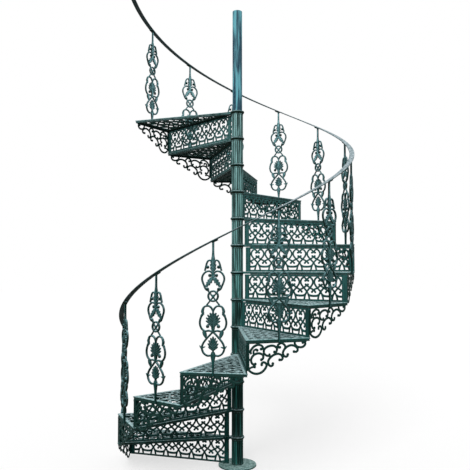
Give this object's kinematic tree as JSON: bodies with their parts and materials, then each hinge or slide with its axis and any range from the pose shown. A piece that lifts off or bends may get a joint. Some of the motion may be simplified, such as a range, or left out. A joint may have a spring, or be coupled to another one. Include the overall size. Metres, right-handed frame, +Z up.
{
  "type": "spiral staircase",
  "caption": "Cast-iron spiral staircase with pierced treads and risers, scrolled brackets and balusters and a helical flat-bar handrail round a tube newel.",
  "frame": {"origin": "centre of the base plate's underside, on the newel's axis at floor level", "axes": "+Z up along the newel; the first riser stands 163.5 degrees counter-clockwise from +X and the flight climbs counter-clockwise seen from above"},
  "size_m": [1.8062, 1.806, 3.7762],
  "materials": {
    "base_iron": "worn green paint",
    "newel_paint": "worn blue-green paint",
    "sleeve_iron": "worn dark green paint",
    "tread_iron": "worn grey-green paint",
    "panel_iron": "worn dark green paint",
    "rail_paint": "worn near-black green paint"
  },
  "bodies": {
    "root": {"base_plate": "base_iron", "newel_tube": "newel_paint", "column_sleeves": "sleeve_iron", "side_brackets": "panel_iron", "tread_01": "tread_iron", "riser_01": "panel_iron", "baluster_01": "panel_iron", "tread_02": "tread_iron", "riser_02": "panel_iron", "baluster_02": "panel_iron", "tread_03": "tread_iron", "riser_03": "panel_iron", "baluster_03": "panel_iron", "tread_04": "tread_iron", "riser_04": "panel_iron", "baluster_04": "panel_iron", "tread_05": "tread_iron", "riser_05": "panel_iron", "baluster_05": "panel_iron", "tread_06": "tread_iron", "riser_06": "panel_iron", "baluster_06": "panel_iron", "tread_07": "tread_iron", "riser_07": "panel_iron", "baluster_07": "panel_iron", "tread_08": "tread_iron", "riser_08": "panel_iron", "baluster_08": "panel_iron", "tread_09": "tread_iron", "riser_09": "panel_iron", "baluster_09": "panel_iron", "tread_10": "tread_iron", "riser_10": "panel_iron", "baluster_10": "panel_iron", "tread_11": "tread_iron", "riser_11": "panel_iron", "baluster_11": "panel_iron", "tread_12": "tread_iron", "riser_12": "panel_iron", "baluster_12": "panel_iron", "tread_13": "tread_iron", "riser_13": "panel_iron", "baluster_13": "panel_iron", "handrail_lower": "rail_paint", "handrail_middle": "rail_paint", "handrail_upper": "rail_paint"}
  },
  "joints": []
}
